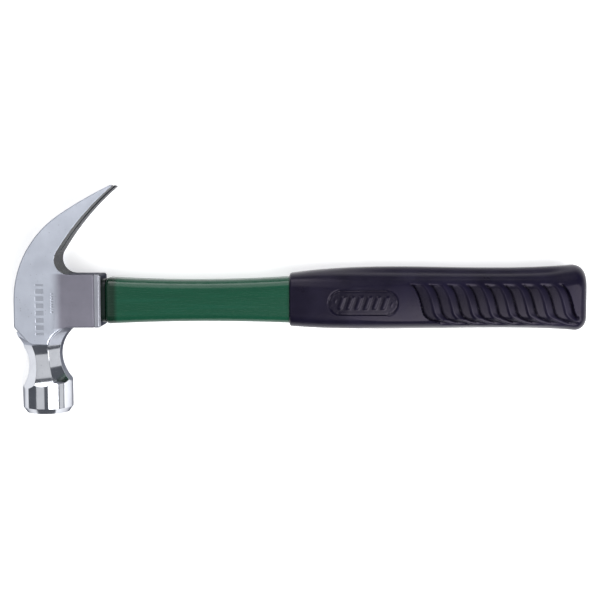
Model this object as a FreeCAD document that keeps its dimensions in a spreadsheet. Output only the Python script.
import FreeCAD, Part
import math
import os
import Sketcher

# Claw hammer with a fibreglass handle, lying on its side.
# X runs along the handle: the crown of the head is at -X and the butt at +X.
# Y runs across it: the claws curve towards +Y and the striking face looks to -Y.
# Z is up. The origin is under the middle of the hammer, on the surface it lies on.
# Everything is symmetric about the middle plane, half a poll diameter above the ground.

doc = FreeCAD.newDocument("claw_hammer")
Vector = FreeCAD.Vector

# ---------------------------------------------------------------- driving dimensions (mm)

SIZES = {
    "overall_length": (330, "crown of the head to the butt"),
    "head_height": (134, "striking face to the claw tips, measured along Y"),
    "poll_diameter": (29, "round poll; it also sets the height of the middle plane"),
    # side outline of the head
    "crown_low_y": (-15, "lower end of the straight crown"),
    "claw_back_radius": (60, "back of the claws, from the crown"),
    "claw_back_turn": (55, "degrees that this arc turns"),
    "claw_end_radius": (229, "back of the claws, up to the tips"),
    "claw_tip_x": (-108.4, "outer corner of the claw tips"),
    "claw_tip_land": (1.0, "thickness of the chisel edge at the tips"),
    "claw_inner_radius": (153, "inner side of the claws"),
    "crotch_radius": (8.6, "round between the claws and the socket"),
    "crotch_x": (-140, "where the inner side of the claws runs into that round"),
    "crotch_y": (28.4, "height of the same point"),
    "crotch_foot_x": (-133, "where the round runs into the top of the socket"),
    "socket_end_x": (-115, "end of the socket, towards the handle"),
    "socket_height": (30.6, "socket along Y"),
    "throat_radius": (13.3, "round between the socket and the lower edge of the cheek"),
    "throat_x": (-132.5, "centre of that round"),
    "cheek_low_y": (-25.5, "lower edge of the cheek"),
    "cheek_corner_x": (-157.6, "lower crown-side corner of the cheek"),
    "cheek_corner_y": (-23.6, "height of that corner"),
    "cheek_foot_x": (-153.2, "where that corner has run into the lower edge"),
    "cheek_corner_radius": (6, "rounding of the corner"),
    # thickness of the head, along Z
    "cheek_thickness": (26, "over the two cheeks"),
    "web_thickness": (23, "body of the forging, behind the cheeks"),
    "socket_thickness": (23.4, "at the end of the socket"),
    "socket_taper_x": (-142, "where the socket starts to taper"),
    "claw_tip_width": (22.6, "over the two claws at their tips"),
    "claw_taper_y": (26, "where the claws start to narrow"),
    "edge_round": (0.9, "rounding of the long edges of cheeks and claws"),
    "lip_chamfer": (1.0, "chamfer round the end of the socket"),
    "lip_groove_x": (-119.2, "line turned round the socket behind its lip"),
    "lip_groove_width": (0.7, "width of that line"),
    "lip_groove_depth": (0.35, "depth of that line"),
    # nail slot
    "slot_angle": (50, "slope of the claws where the slot is, from X"),
    "slot_apex_x": (-142, "closed end of the slot, on the inner side"),
    "slot_apex_y": (31, "height of that end"),
    "slot_length": (62, "from the closed end past the tips"),
    "slot_start_width": (1.4, "width at the closed end"),
    "slot_end_width": (9.2, "width past the tips"),
    # neck and poll
    "neck_x": (-149.5, "middle of the neck's waist"),
    "neck_y": (-34.5, "height of the waist"),
    "neck_lean": (6, "degrees that the neck leans towards the handle"),
    "neck_flats": (18.4, "across the flats at the waist"),
    "neck_upper_radius": (20, "hollow of the eight facets, cheek side"),
    "neck_lower_radius": (24, "hollow of the eight facets, poll side"),
    "neck_upper_reach": (18, "facets reach this far from the waist, cheek side"),
    "neck_lower_reach": (20, "facets reach this far from the waist, poll side"),
    "neck_shoulder_x": (-161.2, "crown side of the body where the neck leaves it"),
    "neck_shoulder_y": (-25, "height of the same point"),
    "neck_throat_x": (-129.5, "handle side of the neck, inside the throat"),
    "poll_x": (-148.4, "axis of the poll"),
    "poll_top_y": (-53, "where the poll is fully round"),
    "poll_edge_y": (-62.6, "start of the chamfer round the face"),
    "face_edge_y": (-65.7, "rim of the striking face"),
    "face_diameter": (24.6, "striking face inside its chamfer"),
    "face_crown_radius": (60, "gentle dome of the striking face"),
    # eye, resin, collar
    "eye_mouth_height": (23.6, "eye at the end of the socket, along Y"),
    "eye_mouth_thickness": (16.8, "the same along Z"),
    "eye_crown_height": (26, "eye at the crown, along Y"),
    "eye_crown_thickness": (19.4, "the same along Z"),
    "eye_corner": (5, "corner radius of the eye"),
    "resin_recess": (1.2, "resin stops this far below the crown"),
    "collar_width": (2.2, "collar outside the socket, along X"),
    "collar_height": (25.2, "collar along Y"),
    "collar_thickness": (18.4, "collar along Z"),
    "collar_spigot": (4, "length of the collar inside the eye"),
    # fibreglass core
    "core_height": (17.6, "core along Y"),
    "core_thickness": (11.2, "core along Z"),
    "core_corner": (4, "corner radius of the core"),
    "core_crown_gap": (4, "core stops this far below the crown"),
    "core_butt_gap": (16, "core stops this far before the butt"),
    "notch_depth": (1.1, "notches round the core in the eye"),
    "notch_width": (3, "width of one notch"),
    "notch_pitch": (9, "spacing of the notches"),
    "notch_count": (3, "number of notches"),
    # jacket
    "jacket_front_height": (27.2, "jacket at the collar, along Y"),
    "jacket_front_thickness": (20.4, "the same along Z"),
    "jacket_waist_x": (-58, "slimmest place of the jacket"),
    "jacket_waist_height": (24.2, "jacket there, along Y"),
    "jacket_waist_thickness": (18.8, "the same along Z"),
    "jacket_rear_height": (26.8, "jacket where it enters the grip, along Y"),
    "jacket_rear_thickness": (20.6, "the same along Z"),
    "jacket_corner": (5.5, "corner radius of the jacket"),
    "jacket_shoulder": (2.4, "rounding of the jacket at the collar"),
    "tang_height": (23, "jacket inside the grip, along Y"),
    "tang_thickness": (17, "the same along Z"),
    "tang_corner": (5, "corner radius inside the grip"),
    "tang_butt_gap": (8, "jacket stops this far before the butt"),
    # grip
    "grip_front_x": (-6, "front end of the grip"),
    "grip_front_height": (30.4, "grip at its front end, along Y"),
    "grip_front_thickness": (24.4, "the same along Z"),
    "grip_front_y": (0.5, "middle of the grip there"),
    "grip_swell_x": (45, "where the grip has swollen to its full thickness"),
    "grip_swell_height": (36, "grip there, along Y"),
    "grip_swell_y": (1.6, "middle of the grip there"),
    "grip_waist_x": (85, "slimmer place before the ribs"),
    "grip_waist_height": (35.4, "grip there, along Y"),
    "grip_waist_y": (1.7, "middle of the grip there"),
    "grip_butt_height": (38.8, "grip at the butt, along Y"),
    "grip_butt_y": (2.2, "middle of the grip at the butt"),
    "grip_moulded_thickness": (30, "grip along Z before its flats"),
    "grip_corner": (8.5, "corner radius of the grip, on the poll's side"),
    "grip_claw_corner": (13.5, "corner radius of the grip, on the claws' side"),
    "grip_front_corner": (8, "corner radius of the grip at its front end"),
    "grip_front_round": (1.2, "rounding of the grip's front edge"),
    "grip_butt_round": (6.5, "rounding of the butt"),
}

dims = doc.addObject("Spreadsheet::Sheet", "dims")
for row, (alias, (size, note)) in enumerate(SIZES.items(), start=1):
    dims.set(f"A{row}", note)
    dims.set(f"B{row}", str(size))
    dims.setAlias(f"B{row}", alias)
doc.recompute()

CROWN_X = "-dims.overall_length / 2"
BUTT_X = "dims.overall_length / 2"
MIDDLE_Z = "dims.poll_diameter / 2"
OVERLAP = "1"          # how far solids that are joined or cut run past each other
SPARE = "10"           # how far a bounding prism runs past what it bounds
SAME_PLACE = 0.01      # two places nearer than this are one


def value(expression):
    """Number that an expression over the sheet stands for."""
    return float(dims.evalExpression(expression))


# ---------------------------------------------------------------- sketches and solids

X_AXIS = Vector(1, 0, 0)
Y_AXIS = Vector(0, 1, 0)
Z_AXIS = Vector(0, 0, 1)
SIDE = FreeCAD.Rotation()                                     # sketch x, y along X, Y
FRONT = FreeCAD.Rotation(Y_AXIS, Z_AXIS, X_AXIS, "XYZ")       # sketch x, y along Y, Z
PLAN = FreeCAD.Rotation(X_AXIS, Z_AXIS, -Y_AXIS, "XYZ")       # sketch x, y along X, Z


def arc_between(start, end, radius):
    """Arc of a signed radius: above zero it turns left on its way from start to end."""
    chord = end - start
    left = Vector(-chord.y, chord.x, 0).normalize()
    rise = math.sqrt(radius * radius - (chord.Length / 2) ** 2)
    side = 1 if radius > 0 else -1
    centre = (start + end) * 0.5 + left * rise * side
    circle = Part.Circle(centre, Z_AXIS, abs(radius))
    first, last = (start, end) if radius > 0 else (end, start)
    angles = [math.atan2(point.y - centre.y, point.x - centre.x) for point in (first, last)]
    return Part.ArcOfCircle(circle, angles[0], angles[1])


def outline(name, rotation, base, corners):
    """Closed sketch. Each corner is (x, y) or (x, y, radius of the arc that leaves it), as
    expressions over the sheet, and base holds three expressions for the sketch's place."""
    sketch = doc.addObject("Sketcher::SketchObject", name)
    sketch.Placement = FreeCAD.Placement(Vector(), rotation)
    for axis, expression in zip("xyz", base):
        sketch.setExpression(f"Placement.Base.{axis}", expression)
    points = [Vector(value(corner[0]), value(corner[1]), 0) for corner in corners]
    ends = []
    for number, corner in enumerate(corners):
        start = points[number]
        end = points[(number + 1) % len(points)]
        if len(corner) == 3:
            radius = value(corner[2])
            edge = sketch.addGeometry(arc_between(start, end, radius))
            ends.append((edge, 1, 2) if radius > 0 else (edge, 2, 1))
        else:
            edge = sketch.addGeometry(Part.LineSegment(start, end))
            ends.append((edge, 1, 2))
    for number, corner in enumerate(corners):
        edge, first, last = ends[number]
        following, its_first, _ = ends[(number + 1) % len(ends)]
        sketch.addConstraint(Sketcher.Constraint("Coincident", edge, last, following, its_first))
        wanted = [("DistanceX", points[number].x, corner[0]),
                  ("DistanceY", points[number].y, corner[1])]
        for kind, distance, expression in wanted:
            place = sketch.addConstraint(Sketcher.Constraint(kind, edge, first, distance))
            sketch.renameConstraint(place, f"{kind}_{number}")
            sketch.setExpression(f"Constraints.{kind}_{number}", expression)
        if len(corner) == 3:
            radius = abs(value(corner[2]))
            place = sketch.addConstraint(Sketcher.Constraint("Radius", edge, radius))
            sketch.renameConstraint(place, f"Radius_{number}")
            sketch.setExpression(f"Constraints.Radius_{number}", f"abs({corner[2]})")
    return sketch


def rounded_section(name, x, height, thickness, corner, middle_y="0", claw_corner=None):
    """Rounded rectangle across the handle at x, centred on the middle plane. Its corners on
    the claws' side may have a radius of their own."""
    half_height = f"({height}) / 2"
    half_thickness = f"({thickness}) / 2"
    corner = f"({corner})"
    upper = f"({claw_corner})" if claw_corner else corner
    right = f"{middle_y} + {half_height}"
    left = f"{middle_y} - {half_height}"
    return outline(name, FRONT, (x, "0", MIDDLE_Z), [
        (f"{left} + {corner}", f"-{half_thickness}"),
        (f"{right} - {upper}", f"-{half_thickness}", upper),
        (right, f"-{half_thickness} + {upper}"),
        (right, f"{half_thickness} - {upper}", upper),
        (f"{right} - {upper}", half_thickness),
        (f"{left} + {corner}", half_thickness, corner),
        (left, f"{half_thickness} - {corner}"),
        (left, f"-{half_thickness} + {corner}", corner),
    ])


def extrusion(name, sketch, direction, forward, backward="0"):
    solid = doc.addObject("Part::Extrusion", name)
    solid.Base = sketch
    solid.DirMode = "Custom"
    solid.Dir = direction
    solid.Solid = True
    solid.setExpression("LengthFwd", forward)
    solid.setExpression("LengthRev", backward)
    return solid


def loft(name, sections, ruled=False):
    solid = doc.addObject("Part::Loft", name)
    solid.Sections = sections
    solid.Solid = True
    solid.Ruled = ruled
    return solid


def fuse(name, *shapes):
    solid = doc.addObject("Part::MultiFuse", name)
    solid.Shapes = list(shapes)
    return solid


def common(name, *shapes):
    solid = doc.addObject("Part::MultiCommon", name)
    solid.Shapes = list(shapes)
    return solid


def cut(name, base, tool):
    solid = doc.addObject("Part::Cut", name)
    solid.Base = base
    solid.Tool = tool
    return solid


def block(name, low, high):
    """Box between two corners, each given as three expressions."""
    solid = doc.addObject("Part::Box", name)
    for side, axis, start, end in zip(("Length", "Width", "Height"), "xyz", low, high):
        solid.setExpression(f"Placement.Base.{axis}", start)
        solid.setExpression(side, f"({end}) - ({start})")
    return solid


def edge_numbers(shape, wanted):
    return [number for number, edge in enumerate(shape.Edges, start=1) if wanted(edge)]


def dressed(kind, name, base, size, wanted):
    """Fillet or chamfer of the edges for which wanted(edge) is true."""
    doc.recompute()
    amount = value(size)
    solid = doc.addObject(kind, name)
    solid.Base = base
    solid.Edges = [(number, amount, amount) for number in edge_numbers(base.Shape, wanted)]
    return solid


def lies_at_x(edge, x):
    return abs(edge.BoundBox.XMin - x) < SAME_PLACE and abs(edge.BoundBox.XMax - x) < SAME_PLACE


def lies_at_y(edge, y):
    return abs(edge.BoundBox.YMin - y) < SAME_PLACE and abs(edge.BoundBox.YMax - y) < SAME_PLACE


# ---------------------------------------------------------------- hammer head

def head_side():
    """Prism of the head's side outline: claws, crown, cheek and socket."""
    centre_x = f"{CROWN_X} + dims.claw_back_radius"
    tip_y = "dims.head_height / 2"
    land = "dims.claw_tip_land * cos(45 deg)"
    sketch = outline("side_outline", SIDE, ("0", "0", MIDDLE_Z), [
        (CROWN_X, "dims.crown_low_y"),
        (CROWN_X, "0", "-dims.claw_back_radius"),
        (f"{centre_x} - dims.claw_back_radius * cos(dims.claw_back_turn * 1 deg)",
         "dims.claw_back_radius * sin(dims.claw_back_turn * 1 deg)", "-dims.claw_end_radius"),
        ("dims.claw_tip_x", tip_y),
        (f"dims.claw_tip_x + {land}", f"{tip_y} - {land}", "dims.claw_inner_radius"),
        ("dims.crotch_x", "dims.crotch_y", "dims.crotch_radius"),
        ("dims.crotch_foot_x", "dims.socket_height / 2"),
        ("dims.socket_end_x - dims.lip_chamfer", "dims.socket_height / 2"),
        ("dims.socket_end_x", "dims.socket_height / 2 - dims.lip_chamfer"),
        ("dims.socket_end_x", "-dims.socket_height / 2 + dims.lip_chamfer"),
        ("dims.socket_end_x - dims.lip_chamfer", "-dims.socket_height / 2"),
        ("dims.throat_x", "-dims.socket_height / 2", "dims.throat_radius"),
        ("dims.throat_x - sqrt(dims.throat_radius ^ 2 - (dims.cheek_low_y + dims.socket_height / 2"
         " + dims.throat_radius) ^ 2)", "dims.cheek_low_y"),
        ("dims.cheek_foot_x", "dims.cheek_low_y", "-dims.cheek_corner_radius"),
        ("dims.cheek_corner_x", "dims.cheek_corner_y"),
    ])
    half = "dims.cheek_thickness / 2"
    return extrusion("side_prism", sketch, Z_AXIS, half, half)


def head_thickness():
    """Two prisms that thin the head towards the socket's end and towards the claw tips."""
    full = "dims.cheek_thickness / 2"
    end = "dims.socket_thickness / 2"
    tip = "dims.claw_tip_width / 2"
    plan = outline("plan_outline", PLAN, ("0", "0", MIDDLE_Z), [
        (f"{CROWN_X} - {SPARE}", f"-{full}"),
        ("dims.socket_taper_x", f"-{full}"),
        ("dims.socket_end_x", f"-{end}"),
        (f"dims.claw_tip_x + {SPARE}", f"-{end}"),
        (f"dims.claw_tip_x + {SPARE}", end),
        ("dims.socket_end_x", end),
        ("dims.socket_taper_x", full),
        (f"{CROWN_X} - {SPARE}", full),
    ])
    front = outline("front_outline", FRONT, (f"{CROWN_X} - {SPARE}", "0", MIDDLE_Z), [
        (f"dims.cheek_low_y - {SPARE}", f"-{full}"),
        ("dims.claw_taper_y", f"-{full}"),
        ("dims.head_height / 2", f"-{tip}"),
        ("dims.head_height / 2", tip),
        ("dims.claw_taper_y", full),
        (f"dims.cheek_low_y - {SPARE}", full),
    ])
    along_y = extrusion("plan_prism", plan, Y_AXIS, "dims.head_height", "dims.head_height")
    along_x = extrusion("front_prism", front, X_AXIS, "dims.overall_length / 4")
    return along_y, along_x


def octagonal_neck():
    """Four waisted prisms about one leaning axis share an eight-sided hollow-faceted neck."""
    waist = "dims.neck_flats / 2"
    top = "dims.neck_upper_reach"
    low = "dims.neck_lower_reach"
    top_half = f"({waist} + dims.neck_upper_radius - sqrt(dims.neck_upper_radius ^ 2 - {top} ^ 2))"
    low_half = f"({waist} + dims.neck_lower_radius - sqrt(dims.neck_lower_radius ^ 2 - {low} ^ 2))"
    lean = FreeCAD.Rotation(Z_AXIS, value("dims.neck_lean"))
    prisms = []
    for number in range(4):
        turned = lean * FreeCAD.Rotation(Y_AXIS, 45 * number)
        sketch = outline(f"neck_outline_{number}", turned, ("dims.neck_x", "dims.neck_y", MIDDLE_Z), [
            (f"-{low_half}", f"-{low}"),
            (low_half, f"-{low}", "-dims.neck_lower_radius"),
            (waist, "0", "-dims.neck_upper_radius"),
            (top_half, top),
            (f"-{top_half}", top, "-dims.neck_upper_radius"),
            (f"-{waist}", "0", "-dims.neck_lower_radius"),
        ])
        reach = "dims.poll_diameter"
        prisms.append(extrusion(f"neck_prism_{number}", sketch, turned.multVec(Z_AXIS), reach, reach))
    return prisms


def neck_envelope():
    """The poll's round and the forging's flat body, which bound the neck's two ends."""
    round_end = doc.addObject("Part::Cylinder", "neck_round")
    round_end.Placement.Rotation = FreeCAD.Rotation(X_AXIS, 90)
    round_end.setExpression("Radius", "dims.poll_diameter / 2")
    round_end.setExpression("Height", f"dims.neck_y - dims.poll_top_y + {OVERLAP}")
    round_end.setExpression("Placement.Base.x", "dims.poll_x")
    round_end.setExpression("Placement.Base.y", "dims.neck_y")
    round_end.setExpression("Placement.Base.z", MIDDLE_Z)
    inside_cheek = f"-dims.socket_height / 2 + {OVERLAP}"
    body = outline("neck_flat_outline", SIDE, ("0", "0", MIDDLE_Z), [
        ("dims.neck_shoulder_x", "dims.neck_y"),
        ("dims.neck_throat_x", "dims.neck_y"),
        ("dims.neck_throat_x", inside_cheek),
        (CROWN_X, inside_cheek),
        (CROWN_X, "dims.crown_low_y"),
        ("dims.neck_shoulder_x", "dims.neck_shoulder_y"),
    ])
    half_body = "dims.web_thickness / 2"
    flat_end = extrusion("neck_flat", body, Z_AXIS, half_body, half_body)
    return fuse("neck_envelope", round_end, flat_end)


def poll():
    """Round poll with a chamfered rim and a gently domed striking face."""
    dome_y = "-dims.head_height / 2"
    sketch = outline("poll_outline", SIDE, ("dims.poll_x", "0", MIDDLE_Z), [
        ("0", "dims.poll_top_y"),
        ("0", dome_y, "dims.face_crown_radius"),
        ("dims.face_diameter / 2", "dims.face_edge_y"),
        ("dims.poll_diameter / 2", "dims.poll_edge_y"),
        ("dims.poll_diameter / 2", "dims.poll_top_y"),
    ])
    solid = doc.addObject("Part::Revolution", "poll")
    solid.Source = sketch
    solid.Axis = Y_AXIS
    solid.Angle = 360
    solid.Solid = True
    solid.setExpression("Base.x", "dims.poll_x")
    solid.setExpression("Base.z", MIDDLE_Z)
    return solid


def nail_slot():
    """Wedge that parts the two claws, square to their slope."""
    slope = value("dims.slot_angle")
    along = FreeCAD.Rotation(Z_AXIS, slope)
    turned = along * PLAN
    end_radius = "dims.slot_start_width / 2 + 0.01"          # a hair over half of the width
    sketch = outline("slot_outline", turned, ("dims.slot_apex_x", "dims.slot_apex_y", MIDDLE_Z), [
        ("0", "-dims.slot_start_width / 2"),
        ("dims.slot_length", "-dims.slot_end_width / 2"),
        ("dims.slot_length", "dims.slot_end_width / 2"),
        ("0", "dims.slot_start_width / 2", end_radius),
    ])
    reach = "dims.poll_diameter"
    return extrusion("nail_slot", sketch, turned.multVec(Z_AXIS), reach, reach)


def eye_space(name):
    """Tapered space of the eye, from the socket's end to beyond the crown."""
    mouth = rounded_section(f"{name}_mouth", "dims.socket_end_x", "dims.eye_mouth_height",
                            "dims.eye_mouth_thickness", "dims.eye_corner")
    crown = rounded_section(f"{name}_crown", CROWN_X, "dims.eye_crown_height",
                            "dims.eye_crown_thickness", "dims.eye_corner")
    return loft(name, [mouth, crown], ruled=True)


def lip_line():
    """Shallow line round the socket: a thin slab with the socket's core left out of it."""
    left = "dims.lip_groove_x"
    right = "dims.lip_groove_x + dims.lip_groove_width"
    slab = block("lip_slab", (left, "-dims.socket_height", "0"),
                 (right, "dims.socket_height", f"2 * {MIDDLE_Z}"))
    taper = ("(dims.cheek_thickness - dims.socket_thickness) / 2"
             " / (dims.socket_end_x - dims.socket_taper_x)")
    half_thickness = f"dims.socket_thickness / 2 + {taper} * (dims.socket_end_x - {left})"
    kept_y = "dims.socket_height / 2 - dims.lip_groove_depth"
    kept_z = f"{half_thickness} - dims.lip_groove_depth"
    kept = block("lip_kept", (f"{left} - {OVERLAP}", f"-({kept_y})", f"{MIDDLE_Z} - ({kept_z})"),
                 (f"{right} + {OVERLAP}", kept_y, f"{MIDDLE_Z} + ({kept_z})"))
    return cut("lip_line", slab, kept)


def long_outer_edge(edge):
    """Edge of a side face that is rounded: the crown, the back of the claws, and the lower side
    of the cheek and socket. The chisel tips, the lip and the creases of the tapers stay sharp."""
    middle = edge.valueAt((edge.FirstParameter + edge.LastParameter) / 2)
    most_slope = 0.6
    margin = value("dims.edge_round")
    back_radius = value("dims.claw_back_radius")
    back_centre = Vector(value(CROWN_X) + back_radius, 0, middle.z)
    on_side_face = abs(middle.z - value(MIDDLE_Z)) > value("dims.eye_crown_thickness / 2")
    along_face = edge.BoundBox.ZLength < most_slope * edge.Length
    crease = (lies_at_x(edge, value("dims.socket_taper_x"))
              or lies_at_y(edge, value("dims.claw_taper_y")))
    on_back = middle.y < 0 or middle.sub(back_centre).Length > back_radius - margin
    at_tip = edge.BoundBox.XMin > value("dims.claw_tip_x") - SAME_PLACE
    lip_x = value("dims.socket_end_x - dims.lip_chamfer") - SAME_PLACE
    at_lip = edge.BoundBox.XMax > lip_x and middle.y < value("dims.crotch_y")
    return on_side_face and along_face and on_back and not (crease or at_tip or at_lip)


def end_of_socket(edge):
    """Edge across the end of the socket that runs along Y."""
    return lies_at_x(edge, value("dims.socket_end_x")) and edge.BoundBox.ZLength < SAME_PLACE


def hammer_head():
    bounded = common("cheeks_sharp", head_side(), *head_thickness())
    lipped = dressed("Part::Chamfer", "cheeks_lipped", bounded, "dims.lip_chamfer", end_of_socket)
    rounded = dressed("Part::Fillet", "cheeks", lipped, "dims.edge_round", long_outer_edge)
    neck = common("neck", *octagonal_neck(), neck_envelope())
    forging = fuse("forging", rounded, neck, poll())
    split = cut("split_forging", forging, nail_slot())
    return cut("hammer_head", split, fuse("head_hollows", eye_space("eye"), lip_line()))


# ---------------------------------------------------------------- handle

def core_rod(name):
    """Pultruded rod with notches round its end in the eye."""
    start = f"{CROWN_X} + dims.core_crown_gap"
    end = f"{BUTT_X} - dims.core_butt_gap"
    section = rounded_section(f"{name}_section", start, "dims.core_height", "dims.core_thickness",
                              "dims.core_corner")
    rod = extrusion(f"{name}_plain", section, X_AXIS, f"({end}) - ({start})")
    rings = []
    for number in range(int(value("dims.notch_count"))):
        left = f"{start} + {number + 1} * dims.notch_pitch"
        slab = block(f"{name}_slab_{number}", (left, "-dims.core_height", "0"),
                     (f"{left} + dims.notch_width", "dims.core_height", f"2 * {MIDDLE_Z}"))
        kept = rounded_section(f"{name}_kept_{number}", left, "dims.core_height - 2 * dims.notch_depth",
                               "dims.core_thickness - 2 * dims.notch_depth",
                               "dims.core_corner - dims.notch_depth")
        kept_rod = extrusion(f"{name}_inner_{number}", kept, X_AXIS, "dims.notch_width")
        rings.append(cut(f"{name}_notch_{number}", slab, kept_rod))
    return cut(name, rod, fuse(f"{name}_notches", *rings))


def straight_bore(name, start, end):
    """Space of the plain core between two places along X."""
    section = rounded_section(f"{name}_section", start, "dims.core_height", "dims.core_thickness",
                              "dims.core_corner")
    return extrusion(name, section, X_AXIS, f"({end}) - ({start})")


def eye_collar():
    """Seal with a spigot that closes the mouth of the eye and a rim outside it."""
    rim_end = "dims.socket_end_x + dims.collar_width"
    spigot_start = "dims.socket_end_x - dims.collar_spigot"
    rim_section = rounded_section("collar_rim_section", "dims.socket_end_x", "dims.collar_height",
                                  "dims.collar_thickness", "dims.eye_corner")
    rim = extrusion("collar_rim", rim_section, X_AXIS, "dims.collar_width")
    window = block("collar_window", (spigot_start, "-dims.socket_height", "0"),
                   ("dims.socket_end_x", "dims.socket_height", f"2 * {MIDDLE_Z}"))
    spigot = common("collar_spigot", eye_space("collar_eye"), window)
    bore = straight_bore("collar_bore", f"{spigot_start} - {OVERLAP}", f"{rim_end} + {OVERLAP}")
    return cut("eye_collar", fuse("collar_body", rim, spigot), bore)


def eye_resin():
    """Potting that fills the eye round the core, from the collar to just below the crown."""
    window = block("resin_window", (f"{CROWN_X} + dims.resin_recess", "-dims.socket_height", "0"),
                   ("dims.socket_end_x - dims.collar_spigot", "dims.socket_height", f"2 * {MIDDLE_Z}"))
    filled = common("resin_filled", eye_space("resin_eye"), window)
    return cut("eye_resin", filled, core_rod("resin_core"))


def handle_jacket():
    """Moulded jacket: a waisted shaft in front and a plain tang inside the grip."""
    front_x = "dims.socket_end_x + dims.collar_width"
    shaft = loft("jacket_shaft", [
        rounded_section("jacket_front", front_x, "dims.jacket_front_height",
                        "dims.jacket_front_thickness", "dims.jacket_corner"),
        rounded_section("jacket_waist", "dims.jacket_waist_x", "dims.jacket_waist_height",
                        "dims.jacket_waist_thickness", "dims.jacket_corner"),
        rounded_section("jacket_rear", "dims.grip_front_x", "dims.jacket_rear_height",
                        "dims.jacket_rear_thickness", "dims.jacket_corner", "dims.grip_front_y"),
    ])
    shouldered = dressed("Part::Fillet", "jacket_shouldered", shaft, "dims.jacket_shoulder",
                         lambda edge: lies_at_x(edge, value(front_x)))
    tang = tang_solid("jacket_tang")
    bore = straight_bore("jacket_bore", f"{front_x} - {OVERLAP}", f"{BUTT_X} - dims.core_butt_gap")
    return cut("handle_jacket", fuse("jacket_body", shouldered, tang), bore)


def tang_solid(name):
    section = rounded_section(f"{name}_section", "dims.grip_front_x", "dims.tang_height",
                              "dims.tang_thickness", "dims.tang_corner", "dims.grip_front_y")
    return extrusion(name, section, X_AXIS, f"{BUTT_X} - dims.tang_butt_gap - dims.grip_front_x")


def grip_sleeve():
    """Rubber sleeve: swollen and closed at the butt, with a moulded flat on either side."""
    moulded = "dims.grip_moulded_thickness"
    body = loft("grip_moulded", [
        rounded_section("grip_front", "dims.grip_front_x", "dims.grip_front_height",
                        "dims.grip_front_thickness", "dims.grip_front_corner", "dims.grip_front_y"),
        rounded_section("grip_swell", "dims.grip_swell_x", "dims.grip_swell_height", moulded,
                        "dims.grip_corner", "dims.grip_swell_y", "dims.grip_claw_corner"),
        rounded_section("grip_waist", "dims.grip_waist_x", "dims.grip_waist_height", moulded,
                        "dims.grip_corner", "dims.grip_waist_y", "dims.grip_claw_corner"),
        rounded_section("grip_butt", BUTT_X, "dims.grip_butt_height", moulded,
                        "dims.grip_corner", "dims.grip_butt_y", "dims.grip_claw_corner"),
    ])
    fronted = dressed("Part::Fillet", "grip_fronted", body, "dims.grip_front_round",
                      lambda edge: lies_at_x(edge, value("dims.grip_front_x")))
    ended = dressed("Part::Fillet", "grip_ended", fronted, "dims.grip_butt_round",
                    lambda edge: lies_at_x(edge, value(BUTT_X)))
    flats = block("grip_flats", (CROWN_X, "-dims.head_height / 2", "0"),
                  (BUTT_X, "dims.head_height / 2", "dims.poll_diameter"))
    return cut("grip_sleeve", common("grip_flattened", ended, flats), tang_solid("grip_bore"))


# ---------------------------------------------------------------- build, check and write

NODES = [
    hammer_head(),
    eye_collar(),
    eye_resin(),
    core_rod("fibreglass_core"),
    handle_jacket(),
    grip_sleeve(),
]
doc.recompute()

for item in doc.Objects:
    if "Invalid" in item.State or "Error" in item.State:
        raise RuntimeError(f"{item.Name} failed: {item.State}")

os.makedirs("parts", exist_ok=True)
for node in NODES:
    if node.Shape.isNull() or not node.Shape.isValid():
        raise RuntimeError(f"{node.Label} has no valid shape")
    node.Shape.exportStep(f"parts/{node.Label}.step")
    box = node.Shape.BoundBox
    print(f"{node.Label}: {len(node.Shape.Solids)} solid, {node.Shape.Volume / 1000:.2f} cm3, "
          f"X {box.XMin:.2f} {box.XMax:.2f} Y {box.YMin:.2f} {box.YMax:.2f} Z {box.ZMin:.2f} {box.ZMax:.2f}")
